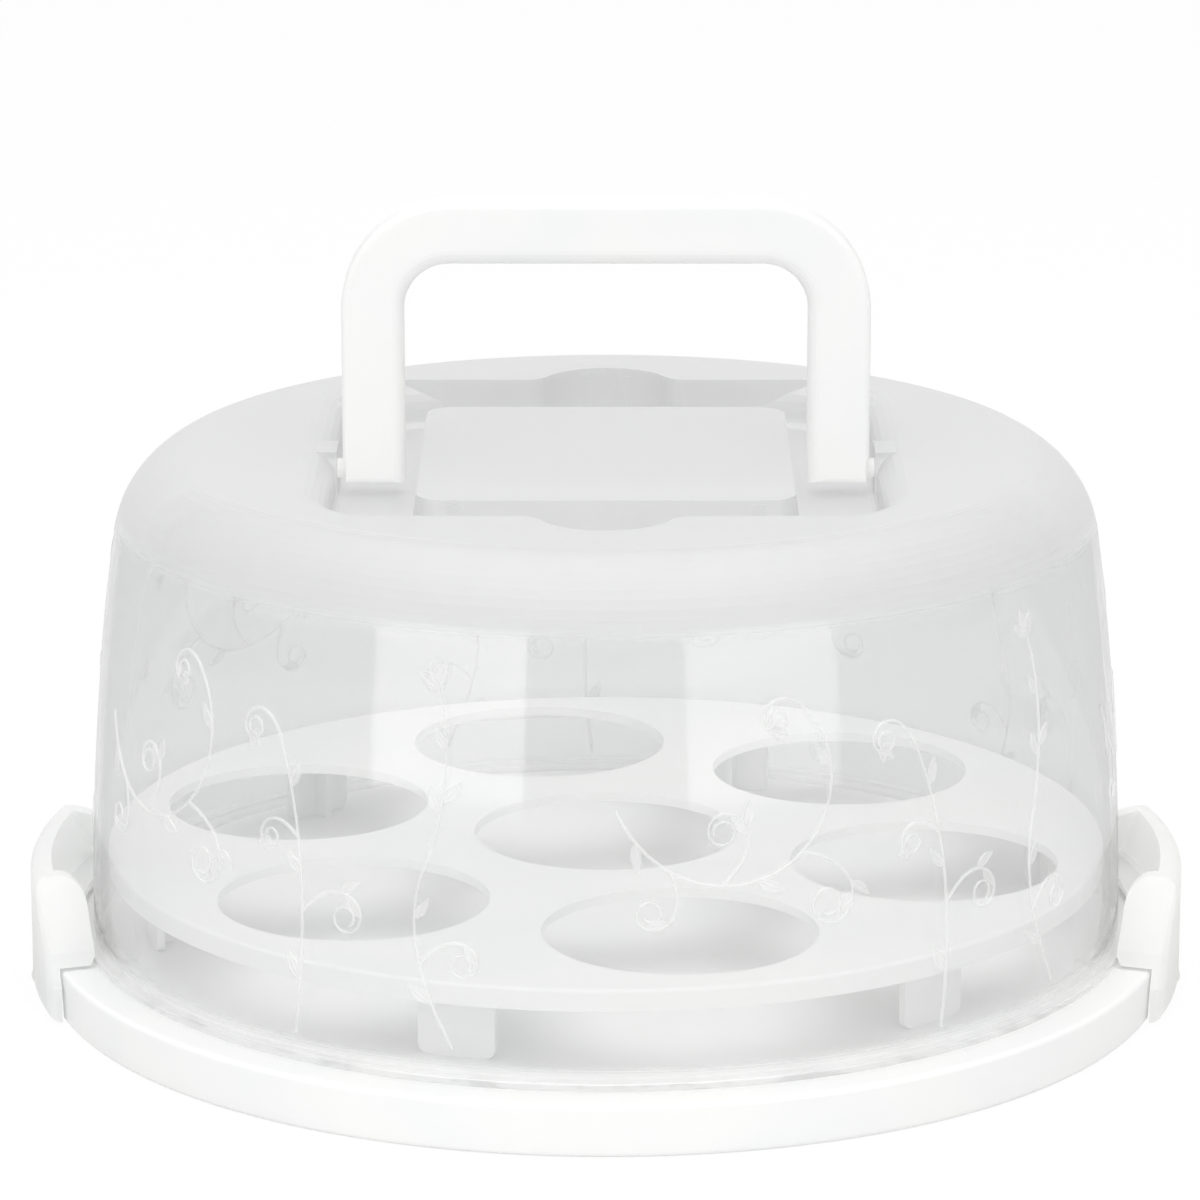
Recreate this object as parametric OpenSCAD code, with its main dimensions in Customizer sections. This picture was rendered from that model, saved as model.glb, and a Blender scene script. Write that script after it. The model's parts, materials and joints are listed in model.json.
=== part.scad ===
// Round cake carrier: a white moulded base tray, a cupcake insert on six legs, a translucent
// lift-off lid with a folding carry handle, and two hinged side latches.
// Millimetres, +Z up, origin on the table under the centre of the base.

/* [Lid] */
// Outside radius of the lid's wall at its foot
lid_r = 137.5; // [115:0.5:165]
// Wall thickness of the lid
lid_wall = 2.0; // [1.6:0.1:2.6]
// Height of the lid from its seat to its flat top
lid_h = 130.5; // [110:0.5:160]
// Radius of the long curve that the wall leans in on
wall_sweep_r = 780; // [600:10:1200]
// Radius of the shoulder between wall and top
shoulder_r = 26.6; // [20:0.2:32]
// Radius that blends the shoulder into the flat top
crown_blend_r = 12; // [8:0.5:14]
// Reach of the foot flange beyond the wall
flange_w = 3.0; // [2.4:0.1:4]
// Thickness of the foot flange
flange_t = 2.1; // [1.6:0.1:3]

/* [Handle] */
// Half of the handle's outside width
handle_half_w = 69.3; // [62:0.1:76]
// Width of the handle's bar, seen from the front
bar_w = 16.4; // [14:0.1:20]
// Thickness of the handle's bar, front to back
bar_t = 11; // [9:0.1:12.5]
// Reach from the pivot axis to the top of the handle
handle_reach = 71.6; // [66:0.1:80]
// Outside radius of the handle's upper corners
bend_r = 28.4; // [25:0.1:32]
// Edge radius on the finger side of the bar
grip_round = 4; // [2:0.1:4.4]
// Edge radius on the outside of the bar
bar_round = 1.6; // [0.8:0.1:3]
// Length of leg below the pivot axis
leg_tail = 3.2; // [2.8:0.1:5]
// Step in the leg's outside face at the pivot
foot_step = 0.8; // [0.3:0.1:1.2]
// Radius of the pivot stubs
stub_r = 2.6; // [2:0.1:3]
// Length of each pivot stub, from the leg's side
stub_len = 6.6; // [5.5:0.1:7.5]

/* [Lid top recess] */
// Depth of the pivot axis below the flat top
pivot_drop = 6.3; // [5.8:0.1:8]
// Depth of the raised centre panel below the flat top
panel_drop = 2.1; // [0.5:0.1:4]
// Gap between a leg's inside face and the centre panel
panel_side_gap = 4.3; // [2:0.1:6]
// Gap between the folded bar and the centre panel's end wall
panel_end_gap = 1.3; // [1:0.1:3]
// Gap between a leg's outside face and the recess wall
recess_side_gap = 1.9; // [1.6:0.1:3]
// Gap between the folded bar and the recess end wall
recess_end_gap = 7; // [4:0.1:9]
// Corner radius of the recess, in plan
recess_corner_r = 29; // [26:0.5:32]
// Radius of the soft rim along the sides and corners
rim_soft_r = 8; // [4:0.1:10]
// Fillet between the recess's walls and floor
recess_foot_r = 2.5; // [1:0.1:3]
// Outward slope of the centre panel's walls, from top to foot
panel_draft = 1.6; // [0:0.1:2]
// Radius of each round finger scoop
scoop_r = 17.5; // [15:0.1:20]
// Reach of each finger scoop beyond the recess end wall
scoop_reach = 15.3; // [14:0.1:17]
// Radius of the curves at a scoop's sides
scoop_side_r = 7; // [5:0.1:8]
// Distance of the upright ribs in a scoop's wall from the middle
scoop_rib_x = 5.2; // [4:0.1:7]
// Width of the small ribs that hold the folded bar
snap_rib_w = 3.5; // [2.5:0.1:5]
// Distance of the small ribs from the middle
snap_rib_x = 38.8; // [30:0.1:39]

/* [Base tray] */
// Width of the ledge outside the lid's flange
ledge_w = 9.5; // [8.5:0.1:14]
// Height of the ledge above the table
ledge_h = 13.8; // [13:0.1:17]
// Wall thickness of the tray
tray_wall = 2.2; // [1.8:0.1:2.8]
// Inward lean of the skirt at the table
skirt_lean = 0.5; // [0:0.1:1]
// Rise of the cake floor above the ledge
floor_rise = 1.3; // [0.8:0.1:4]
// Radial clearance between cake floor and lid wall
spigot_clear = 0.9; // [0.5:0.1:2]
// Number of radial ribs under the floor
rib_count = 12; // [6:1:16]
// Thickness of the ribs under the floor
rib_t = 1.6; // [1.2:0.1:2.2]
// Depth of the ribs under the floor
rib_depth = 4.4; // [3:0.1:8]

/* [Cupcake insert] */
// Radial clearance between insert and lid wall
insert_clear = 2.3; // [1.5:0.1:5]
// Height of the insert's top above the cake floor
insert_h = 22.7; // [16:0.1:28]
// Thickness of the insert's plate
plate_t = 2.5; // [1.8:0.1:3.2]
// Depth of the turned-down rim
rim_depth = 5.7; // [4:0.1:8]
// Radius of each cupcake hole
hole_r = 35.3; // [28:0.1:38]
// Distance of the outer holes from the centre
hole_circle_r = 88.1; // [80:0.1:92]
// Turn of the insert on the floor, in degrees
insert_turn = -17.65; // [-30:0.05:30]
// Width of each leg
leg_w = 20.3; // [14:0.1:26]
// Distance of the legs' outer face inside the rim
leg_inset = 9.7; // [5:0.1:14]
// Radial depth of the stiffening rib behind each leg
leg_rib_d = 5.5; // [4:0.1:9]
// Wall thickness of rim and legs
insert_wall = 2; // [1.5:0.1:2.5]

/* [Latches] */
// Half angle that a latch covers, in degrees
latch_half_a = 19.3; // [17:0.1:24]
// Height of a latch's top edge above the ledge
latch_rise = 21.2; // [17:0.1:28]
// Thickness of a latch's outer wall
latch_wall = 3.4; // [2.8:0.1:3.8]
// Thickness of a latch's wall beside its pocket
latch_rim_w = 5.6; // [4:0.1:6.5]
// Rounding of a latch's outer upright edges
latch_edge_r = 3; // [1:0.1:4]
// Gap between a latch and the skirt
latch_skirt_gap = 0.6; // [0.4:0.1:1]
// Radial gap between a latch's hook and the lid's flange
hook_gap = 0.35; // [0.3:0.01:0.5]
// Thickness of a latch's end cheeks
cheek_t = 3; // [2:0.1:4]
// Radius of the cheek's upper inside corner
cheek_round = 6.7; // [4:0.1:8]
// Slope of a latch's ends from upright, in degrees
end_slope_a = 41; // [30:1:50]
// Radius of a latch's hinge pin
pin_r = 1.2; // [1:0.05:1.4]
// Half length of a latch's hinge pin
pin_half = 21; // [19:0.5:24]
// Distance of the hinge lugs from the middle of a latch
lug_y = 15.5; // [13:0.5:16]
// Width of each hinge lug
lug_w = 3.4; // [2.6:0.1:4]

/* [Hidden] */

$fn = 96;
ROUND_FN = 180;
WHITE = [0.97, 0.97, 0.96];
CLEAR = [0.90, 0.91, 0.92, 0.45];
STEEL = [0.74, 0.75, 0.77];
SPAN = 400;                       // longer than the whole object
EPS = 0.01;

RUN_CLEAR = 0.05;                 // radial clearance of a pivot in its bore
PRESS_CLEAR = 0.02;               // radial clearance of a pin in its lug
SWING_CLEAR = 0.5;                // clearance where a piece swings past another

// Heights and radii that follow from the sizes above
seat_z = ledge_h;
flange_r = lid_r + flange_w;
base_r = flange_r + ledge_w;
lid_top_z = seat_z + lid_h;
pivot_z = lid_top_z - pivot_drop;
panel_z = lid_top_z - panel_drop;
panel_half_x = handle_half_w - bar_w - panel_side_gap;
panel_half_y = handle_reach - bar_w - panel_end_gap;
panel_corner_r = bend_r - bar_w - panel_side_gap;   // follows the handle's inner bend
recess_half_x = handle_half_w + recess_side_gap;
recess_half_y = handle_reach + recess_end_gap;
recess_floor_z = pivot_z - norm([bar_t / 2, leg_tail]) - SWING_CLEAR;
pan_top_z = lid_top_z + 3;
floor_r = lid_r - lid_wall - spigot_clear;
floor_z = seat_z + floor_rise;
insert_r = lid_r - lid_wall - insert_clear;
insert_z = floor_z + insert_h;

// ---------------------------------------------------------------- helpers

// Points on an arc from angle a0 to a1, in n steps
function arc(cx, cy, r, a0, a1, n) =
    [for (i = [0:n]) [cx + r * cos(a0 + (a1 - a0) * i / n), cy + r * sin(a0 + (a1 - a0) * i / n)]];

// A sector of a revolved outline, centred on +X
module sector(half_a) {
    rotate([0, 0, -half_a]) rotate_extrude(angle = 2 * half_a, $fn = ROUND_FN) children();
}

// An outline in X and Z, drawn out along Y from -half to half
module along_y(half) {
    rotate([90, 0, 0]) translate([0, 0, -half]) linear_extrude(2 * half) children();
}

// An outline in Y and Z, drawn out along X from x0 to x1
module along_x(x0, x1) {
    translate([x0, 0, 0]) rotate([90, 0, 90]) linear_extrude(x1 - x0) children();
}

module mirror_pair_x() {
    children();
    mirror([1, 0, 0]) children();
}

module mirror_pair_y() {
    children();
    mirror([0, 1, 0]) children();
}

// ---------------------------------------------------------------- lid

// Half section of the lid's outer skin, moved inwards by t: wall, shoulder and flat top
blend_a = 62.9;
shoulder_z = lid_top_z - crown_blend_r - (shoulder_r - crown_blend_r) * sin(blend_a);
wall_axis_r = lid_r - wall_sweep_r;
sweep_a = asin((shoulder_z - seat_z) / (wall_sweep_r - shoulder_r));
shoulder_c_r = wall_axis_r + (wall_sweep_r - shoulder_r) * cos(sweep_a);
blend_c_r = shoulder_c_r + (shoulder_r - crown_blend_r) * cos(blend_a);

function lid_skin(t) = concat(
    [[0, seat_z - 1], [lid_r - t, seat_z - 1]],
    arc(wall_axis_r, seat_z, wall_sweep_r - t, 0, sweep_a, 12),
    arc(shoulder_c_r, shoulder_z, shoulder_r - t, sweep_a + 5, blend_a, 9),
    arc(blend_c_r, lid_top_z - crown_blend_r, crown_blend_r - t, blend_a + 6, 90, 4),
    [[0, lid_top_z - t]]
);

module lid_solid(t) {
    rotate_extrude($fn = ROUND_FN) polygon(lid_skin(t));
}

// Block with rounded corners whose child is the half profile of a corner, drawn from the corner's axis
module rounded_block(half_x, half_y, corner_r, z0, z1) {
    cx = half_x - corner_r;
    cy = half_y - corner_r;
    for (sx = [-1, 1], sy = [-1, 1])
        translate([sx * cx, sy * cy, 0]) rotate_extrude() children();
    along_y(cy) mirror_pair_x() translate([cx, 0]) children();
    along_x(-cx, cx) mirror_pair_x() translate([cy, 0]) children();
    translate([-cx - EPS, -cy - EPS, z0]) cube([2 * (cx + EPS), 2 * (cy + EPS), z1 - z0]);
}

// Corner of the recess pan: wall that opens out in a soft rim; t grows it by the lid's wall
function pan_corner(t) = concat(
    [[0, recess_floor_z - t]],
    arc(recess_corner_r - recess_foot_r, recess_floor_z + recess_foot_r, recess_foot_r + t, 270, 360, 4),
    arc(recess_corner_r + rim_soft_r, lid_top_z - rim_soft_r, rim_soft_r - t, 180, 90, 6),
    [[recess_corner_r + rim_soft_r, pan_top_z], [0, pan_top_z]]
);

// Pan for the folded handle, with soft sides and corners and a sharp edge across each end
module recess_pan(t) {
    end_half = recess_half_y + t;
    intersection() {
        rounded_block(recess_half_x, recess_half_y, recess_corner_r, recess_floor_z - t, pan_top_z)
            polygon(pan_corner(t));
        translate([-SPAN / 2, -end_half, 0]) cube([SPAN, 2 * end_half, SPAN]);
    }
    mirror_pair_y() finger_scoop(t);
}

// Middle of a scoop's round, and of the curves at its sides
scoop_mid_y = recess_half_y + scoop_reach - scoop_r;
scoop_side_y = recess_half_y + scoop_side_r;
scoop_side_x = sqrt(pow(scoop_r + scoop_side_r, 2) - pow(scoop_side_y - scoop_mid_y, 2));

// Round scoop in the recess end for a fingertip, whose sides run out into the edge in S curves
module finger_scoop(t) {
    translate([0, 0, recess_floor_z - t]) linear_extrude(pan_top_z - recess_floor_z + t) {
        translate([0, scoop_mid_y]) circle(r = scoop_r + t);
        difference() {
            polygon([[-scoop_side_x, scoop_side_y - 2 * scoop_side_r],
                     [scoop_side_x, scoop_side_y - 2 * scoop_side_r],
                     [scoop_side_x, scoop_side_y], [0, scoop_mid_y], [-scoop_side_x, scoop_side_y]]);
            for (side = [-1, 1]) translate([side * scoop_side_x, scoop_side_y]) circle(r = scoop_side_r - t);
        }
    }
}

// Corner of the raised centre panel: drafted wall; t shrinks it to the hollow underneath
function draft_at(z) = panel_draft * (panel_z - z) / (panel_z - recess_floor_z);

function panel_corner(t, foot_z) = [
    [0, foot_z], [panel_corner_r - t + draft_at(foot_z), foot_z],
    [panel_corner_r - t + draft_at(panel_z - t), panel_z - t], [0, panel_z - t]
];

module centre_panel(t) {
    foot_z = recess_floor_z - lid_wall - (t > 0 ? 1 : 0);
    rounded_block(panel_half_x, panel_half_y, panel_corner_r, foot_z, panel_z - t)
        polygon(panel_corner(t, foot_z));
}

// Small upright ribs on the panel's end walls, which grip the folded bar
module snap_ribs() {
    rib_reach = panel_end_gap - 0.5;
    mirror_pair_x() mirror_pair_y()
        translate([snap_rib_x - snap_rib_w / 2, panel_half_y - 1, recess_floor_z - lid_wall / 2])
            cube([snap_rib_w, rib_reach + 1, panel_z - recess_floor_z]);
}

// Upright ribs in each scoop's wall
module scoop_ribs() {
    wall_y = recess_half_y + scoop_reach;
    mirror_pair_x() mirror_pair_y() translate([scoop_rib_x - 1.4, wall_y - 1.8, recess_floor_z - 1])
        cube([2.8, 1.8 + lid_wall / 2, lid_top_z - recess_floor_z - 1]);
}

// Upright ear with a blind bore for one of the handle's stubs
module pivot_ear() {
    ear_x = handle_half_w + 1.5;
    ear_half_y = stub_r + 4;
    translate([ear_x, -ear_half_y, recess_floor_z - lid_wall])
        cube([stub_len + 1.2, 2 * ear_half_y, lid_top_z - 0.6 - recess_floor_z + lid_wall]);
}

module pivot_bore() {
    translate([handle_half_w, 0, pivot_z]) rotate([0, 90, 0])
        cylinder(r = stub_r + RUN_CLEAR, h = stub_len + 0.4);
}

module foot_flange() {
    bead_r = flange_t / 2;
    rotate_extrude($fn = ROUND_FN) {
        translate([lid_r - lid_wall, seat_z]) square([lid_wall + flange_w - bead_r / 2, flange_t]);
        polygon(concat([[lid_r, seat_z]],
                       arc(flange_r - bead_r / 2, seat_z + bead_r / 2, bead_r / 2, -90, 0, 3),
                       arc(flange_r - bead_r / 2, seat_z + flange_t - bead_r / 2, bead_r / 2, 0, 90, 3),
                       [[lid_r, seat_z + flange_t]]));
    }
}

module lid_dome() {
    color(CLEAR) difference() {
        union() {
            difference() {
                union() {
                    difference() {
                        lid_solid(0);
                        lid_solid(lid_wall);
                    }
                    intersection() {
                        recess_pan(lid_wall);
                        lid_solid(0);
                    }
                    mirror_pair_x() pivot_ear();
                    foot_flange();
                }
                difference() {
                    recess_pan(0);
                    mirror_pair_x() pivot_ear();
                }
                translate([0, 0, seat_z - 2]) cylinder(r = SPAN / 2, h = 2);
            }
            centre_panel(0);
            snap_ribs();
            scoop_ribs();
        }
        centre_panel(lid_wall);
        mirror_pair_x() pivot_bore();
    }
}

// ---------------------------------------------------------------- handle

// Section of the bar: u runs from the outside face inwards, v from back to front
function bar_section() = concat(
    arc(bar_round, bar_round - bar_t / 2, bar_round, 180, 270, 4),
    arc(bar_w - grip_round, grip_round - bar_t / 2, grip_round, 270, 360, 6),
    arc(bar_w - grip_round, bar_t / 2 - grip_round, grip_round, 0, 90, 6),
    arc(bar_round, bar_t / 2 - bar_round, bar_round, 90, 180, 4)
);

module handle_leg() {
    leg_top = handle_reach - bend_r;
    tail_round = 1.5;
    intersection() {
        translate([handle_half_w, 0, -leg_tail]) mirror([1, 0, 0])
            linear_extrude(leg_top + leg_tail) polygon(bar_section());
        along_x(0, SPAN) polygon(concat(
            arc(tail_round - bar_t / 2, tail_round - leg_tail, tail_round, 180, 270, 4),
            arc(bar_t / 2 - tail_round, tail_round - leg_tail, tail_round, 270, 360, 4),
            [[bar_t / 2, SPAN], [-bar_t / 2, SPAN]]));
        along_y(bar_t) polygon([
            [0, -bar_t], [handle_half_w - foot_step, -bar_t], [handle_half_w - foot_step, stub_r],
            [handle_half_w, stub_r + foot_step], [handle_half_w + 1, SPAN], [0, SPAN]]);
    }
    translate([handle_half_w - 2, 0, 0]) rotate([0, 90, 0]) cylinder(r = stub_r, h = stub_len + 2);
}

module handle_bend() {
    corner_x = handle_half_w - bend_r;
    corner_z = handle_reach - bend_r;
    translate([corner_x, 0, corner_z]) rotate([90, 0, 0])
        rotate_extrude(angle = 90) translate([bend_r, 0]) mirror([1, 0]) polygon(bar_section());
}

module handle_bar() {
    corner_x = handle_half_w - bend_r;
    translate([-corner_x, 0, handle_reach]) rotate([0, 90, 0])
        linear_extrude(2 * corner_x) polygon(bar_section());
}

module carry_handle() {
    color(WHITE) translate([0, 0, pivot_z]) {
        handle_bar();
        mirror_pair_x() {
            handle_bend();
            handle_leg();
        }
    }
}

// ---------------------------------------------------------------- cupcake insert

// Leg: a curved tab with rounded lower corners, stiffened by a rib behind it
module insert_leg() {
    outer_r = insert_r - leg_inset;
    foot_r = leg_w / 8;
    leg_h = insert_h - 1;
    difference() {
        intersection() {
            translate([0, 0, floor_z]) cylinder(r = outer_r, h = leg_h, $fn = ROUND_FN);
            along_x(outer_r - 2 * insert_wall, outer_r + 1) polygon(concat(
                arc(foot_r - leg_w / 2, floor_z + foot_r, foot_r, 180, 270, 4),
                arc(leg_w / 2 - foot_r, floor_z + foot_r, foot_r, 270, 360, 4),
                [[leg_w / 2, floor_z + leg_h], [-leg_w / 2, floor_z + leg_h]]));
        }
        translate([0, 0, floor_z - 1]) cylinder(r = outer_r - insert_wall, h = leg_h + 2, $fn = ROUND_FN);
    }
    translate([outer_r - insert_wall / 2 - leg_rib_d, -insert_wall / 2, floor_z])
        cube([leg_rib_d, insert_wall, leg_h]);
}

module insert_plate() {
    edge_r = 1;
    rotate_extrude($fn = ROUND_FN) polygon(concat(
        [[0, insert_z - plate_t], [insert_r - insert_wall, insert_z - plate_t],
         [insert_r - insert_wall, insert_z - rim_depth], [insert_r, insert_z - rim_depth]],
        arc(insert_r - edge_r, insert_z - edge_r, edge_r, 0, 90, 4),
        [[0, insert_z]]));
}

module cupcake_insert() {
    color(WHITE) rotate([0, 0, insert_turn]) difference() {
        union() {
            insert_plate();
            for (k = [0:5]) rotate([0, 0, 30 + 60 * k]) insert_leg();
        }
        translate([0, 0, insert_z - plate_t - 1]) {
            cylinder(r = hole_r, h = plate_t + 2);
            for (k = [0:5]) rotate([0, 0, 60 * k]) translate([hole_circle_r, 0, 0])
                cylinder(r = hole_r, h = plate_t + 2);
        }
    }
}

// ---------------------------------------------------------------- base tray

// Where a latch turns: pivot height above the table and distance from the axis
latch_out_r = base_r + latch_skirt_gap + latch_wall;
hinge_r = base_r + latch_skirt_gap;
hinge_z = latch_wall + 0.5;
knuckle_r = pin_r + 1.3;
lug_r = pin_r + 1.35;
recess_a = latch_half_a - 1.3;
hinge_wall_r = hinge_r - latch_wall - SWING_CLEAR;
recess_top_z = hinge_z + knuckle_r + latch_wall;

module tray_shell() {
    under_z = seat_z - tray_wall;
    edge_r = 1.2;
    floor_edge_r = 0.75 * floor_rise;
    foot_out = base_r - skirt_lean;
    foot_in = foot_out - tray_wall - 0.4;
    rotate_extrude($fn = ROUND_FN) polygon(concat(
        [[0, floor_z - tray_wall], [floor_r - tray_wall, floor_z - tray_wall],
         [floor_r - tray_wall, under_z], [base_r - tray_wall, under_z], [foot_in, 0]],
        arc(foot_out - edge_r, edge_r, edge_r, 270, 360, 3),
        arc(base_r - edge_r, seat_z - edge_r, edge_r, 0, 90, 4),
        [[floor_r, seat_z]],
        arc(floor_r - floor_edge_r, floor_z - floor_edge_r, floor_edge_r, 0, 90, 4),
        [[0, floor_z]]));
}

module floor_ribs() {
    rib_z = floor_z - tray_wall - rib_depth;
    ring_r = floor_r * 0.55;
    hub_r = 14;
    reach = floor_r - tray_wall;
    for (k = [0:rib_count - 1]) rotate([0, 0, (k + 0.5) * 360 / rib_count])
        translate([hub_r - 1, -rib_t / 2, rib_z]) cube([reach + 1 - hub_r, rib_t, rib_depth + 1]);
    for (r = [hub_r, ring_r]) translate([0, 0, rib_z]) difference() {
        cylinder(r = r, h = rib_depth + 1);
        translate([0, 0, -1]) cylinder(r = r - rib_t, h = rib_depth + 3);
    }
}

// Thickened skirt behind a latch, hollowed on the outside so the latch's lower edge can swing
module hinge_pad() {
    pad_in = hinge_wall_r - tray_wall;
    sector(recess_a + 1) translate([pad_in, 0]) square([base_r - tray_wall / 2 - pad_in, seat_z - 1]);
}

module hinge_hollow() {
    sector(recess_a) translate([hinge_wall_r, -1]) square([base_r, recess_top_z + 1]);
}

module hinge_lugs() {
    mirror_pair_y() translate([0, lug_y, 0]) along_y(lug_w / 2) {
        translate([hinge_r, hinge_z]) circle(r = lug_r, $fn = 48);
        translate([hinge_wall_r - 2, hinge_z - lug_r]) square([hinge_r - hinge_wall_r + 2, 2 * lug_r]);
    }
}

module pin_hole(r, half) {
    translate([hinge_r, 0, hinge_z]) rotate([90, 0, 0])
        cylinder(r = r, h = 2 * half, center = true, $fn = 48);
}

module base_tray() {
    color(WHITE) difference() {
        union() {
            difference() {
                union() {
                    tray_shell();
                    floor_ribs();
                    mirror_pair_x() hinge_pad();
                }
                mirror_pair_x() hinge_hollow();
            }
            mirror_pair_x() hinge_lugs();
        }
        mirror_pair_x() pin_hole(pin_r + PRESS_CLEAR, pin_half + 1);
    }
}

// ---------------------------------------------------------------- latches

latch_top_z = seat_z + latch_rise;
hook_r = flange_r + hook_gap;
hook_z = seat_z + flange_t + 1.1;
cheek_z = seat_z + 0.9;
shelf_top_z = hook_z + 1.7;
pocket_out_r = latch_out_r - latch_rim_w;

// Section of a closed latch block: outer wall, top edge and the inward hook
function latch_section() = concat(
    arc(hinge_r, hinge_z, latch_wall, -90, 0, 7),
    arc(latch_out_r - 3.2, latch_top_z - 3.2, 3.2, 0, 90, 5),
    arc(hook_r + cheek_round, latch_top_z - cheek_round, cheek_round, 90, 180, 6),
    [[hook_r, hook_z], [hook_r + 1.4, cheek_z], [hinge_r, cheek_z]]
);

// Space inside a latch, open at its top and towards the lid
function latch_pocket() = [
    [hook_r - cheek_t, shelf_top_z], [pocket_out_r - cheek_t / 3, shelf_top_z],
    [pocket_out_r, shelf_top_z + cheek_t / 3], [pocket_out_r, latch_top_z + cheek_t],
    [hook_r - cheek_t, latch_top_z + cheek_t]
];

// Everything beyond a plane that leans back from upright by slope_a, starting at height z0 on the radial
// line at the latch's end, and is turned by turn_a round an upright line at radius at_r
module beyond_slope(z0, slope_a, inset, at_r, turn_a) {
    rotate([0, 0, latch_half_a]) translate([0, 0, z0]) rotate([slope_a, 0, 0])
        translate([at_r, -inset, -SPAN / 2]) rotate([0, 0, -turn_a]) cube([SPAN, SPAN, SPAN]);
}

// The leaning planes of a latch's ends: height and slope of each
blend_h = latch_rise / 3;
SLOPES = [[cheek_z - 0.7 * blend_h, end_slope_a / 2],
          [cheek_z, end_slope_a],
          [cheek_z + blend_h, end_slope_a + 12]];

module slope_ends(inset) {
    mirror_pair_y() for (s = SLOPES) beyond_slope(s[0], s[1], inset, 0, 0);
}

// Rounds the outer upright edges in three flat steps
module round_ends() {
    mirror_pair_y() for (s = concat([[0, 0]], SLOPES), turn_a = [22.5, 45, 67.5])
        beyond_slope(s[0], s[1], 0, latch_out_r - latch_edge_r * (1 - tan(turn_a / 2)), turn_a);
}

module latch_block() {
    difference() {
        sector(latch_half_a) polygon(latch_section());
        slope_ends(0);
        round_ends();
    }
}

module latch_hollow() {
    difference() {
        sector(latch_half_a - 1.2) polygon(latch_pocket());
        slope_ends(cheek_t);
    }
}

module latch() {
    color(WHITE) difference() {
        union() {
            latch_block();
            pin_hole(knuckle_r, pin_half);
        }
        latch_hollow();
        mirror_pair_y() translate([hinge_r - latch_out_r / 4, lug_y - lug_w / 2 - SWING_CLEAR, -1])
            cube([latch_out_r / 2, lug_w + 2 * SWING_CLEAR, hinge_z + lug_r + SWING_CLEAR + 1]);
        pin_hole(pin_r + RUN_CLEAR, pin_half + 1);
    }
}

module latch_right() {
    latch();
}

module latch_left() {
    mirror([1, 0, 0]) latch();
}

module latch_pin() {
    color(STEEL) pin_hole(pin_r, pin_half);
}

module latch_pin_right() {
    latch_pin();
}

module latch_pin_left() {
    mirror([1, 0, 0]) latch_pin();
}

base_tray();
cupcake_insert();
lid_dome();
carry_handle();
latch_left();
latch_right();
latch_pin_left();
latch_pin_right();
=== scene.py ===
"""Looks of a round cake carrier: lift-off lid, folding carry handle, cupcake insert, two side latches.

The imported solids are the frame. Each one gets the finish of its real plastic or steel, and the lid's
wall gets the raised vine scroll that is moulded into it. Lengths are metres unless a name or a comment
says millimetres.
"""

import json
import logging
import math
from dataclasses import dataclass, field
from enum import Enum

import bmesh
import bpy
from mathutils import Matrix, Vector

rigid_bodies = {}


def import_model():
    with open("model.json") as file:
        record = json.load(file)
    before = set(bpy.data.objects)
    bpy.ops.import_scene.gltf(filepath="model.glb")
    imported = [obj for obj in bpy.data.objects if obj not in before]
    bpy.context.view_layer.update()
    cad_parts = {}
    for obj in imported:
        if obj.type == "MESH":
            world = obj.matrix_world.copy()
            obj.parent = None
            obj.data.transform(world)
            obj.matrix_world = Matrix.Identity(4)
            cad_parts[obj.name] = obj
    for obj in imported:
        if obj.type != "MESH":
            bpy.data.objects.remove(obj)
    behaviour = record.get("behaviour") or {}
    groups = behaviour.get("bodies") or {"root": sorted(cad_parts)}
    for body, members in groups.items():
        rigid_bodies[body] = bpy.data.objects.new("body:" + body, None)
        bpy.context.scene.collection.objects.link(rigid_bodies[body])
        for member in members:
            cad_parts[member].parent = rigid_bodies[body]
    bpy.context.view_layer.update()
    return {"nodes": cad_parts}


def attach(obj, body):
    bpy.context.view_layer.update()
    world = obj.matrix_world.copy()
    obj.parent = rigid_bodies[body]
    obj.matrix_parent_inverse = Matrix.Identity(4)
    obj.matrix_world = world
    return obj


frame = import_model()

logging.basicConfig(level=logging.INFO, format="%(levelname)s %(message)s")
log = logging.getLogger("cake_carrier")

Rgba = tuple[float, float, float, float]
Point = tuple[float, float]
Spot = tuple[float, float, float]    # across and up in millimetres, heading in radians

MM = 0.001
WHITE: Rgba = (1.0, 1.0, 1.0, 1.0)
POLYPROPYLENE_IOR = 1.49
MIX_A, MIX_B, MIX_RESULT = 6, 7, 2   # colour sockets of the Mix node


class Side(Enum):
    """Which side of the carrier a latch is on, seen from the front."""

    LEFT = "left"
    RIGHT = "right"


class Skin(Enum):
    """How the mould's steel was finished, which the plastic copies."""

    SATIN = "satin"
    GRAINED = "grained"

    @property
    def spread(self) -> float:
        """How far the grain moves the roughness up and down."""
        return 0.10 if self is Skin.GRAINED else 0.05


def linear(sheet_hex: str) -> Rgba:
    """Turns an sRGB hex colour into the linear colour that shaders take.

    Args:
        sheet_hex: Colour such as "#F4F4F2".

    Returns:
        Linear red, green, blue and an alpha of 1.
    """
    parts = [int(sheet_hex[i:i + 2], 16) / 255 for i in (1, 3, 5)]
    red, green, blue = (c / 12.92 if c <= 0.04045 else ((c + 0.055) / 1.055) ** 2.4 for c in parts)
    return red, green, blue, 1.0


def per_metre(size_mm: float) -> float:
    """Texture scale at which one feature is size_mm wide."""
    return 1.0 / (size_mm * MM)


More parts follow.
